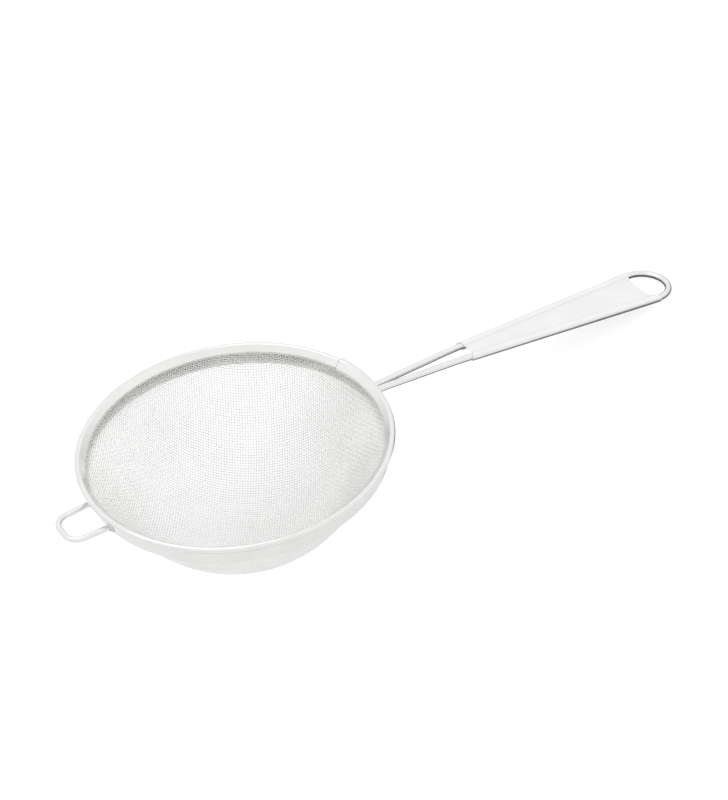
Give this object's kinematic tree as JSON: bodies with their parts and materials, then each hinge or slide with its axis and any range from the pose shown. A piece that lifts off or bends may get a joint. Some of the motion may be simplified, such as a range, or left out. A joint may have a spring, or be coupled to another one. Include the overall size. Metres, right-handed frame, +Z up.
{
  "type": "tea strainer",
  "caption": "Handheld tea strainer: woven mesh bowl in a rolled rim band, hairpin wire handle with a sheet grip and hanging eye, and a small wire rest loop opposite.",
  "frame": {"origin": "on the table under the middle of the strainer's bounding box, with the bowl and the handle's end both touching the table", "axes": "+X along the handle, away from the bowl; +Z up; the strainer is a mirror image across the XZ plane"},
  "size_m": [0.2052, 0.09, 0.0432],
  "materials": {
    "mesh": "woven fine wire, bright drawn",
    "band": "rolled sheet, bright",
    "wire": "bright drawn wire",
    "plate": "satin sheet",
    "weld": "bare weld metal"
  },
  "bodies": {
    "root": {"mesh_bowl": "mesh", "rim_band": "band", "rim_core_wire": "wire", "handle_wire": "wire", "grip_plate": "plate", "rest_loop": "wire", "handle_welds": "weld", "rest_loop_welds": "weld"}
  },
  "joints": []
}
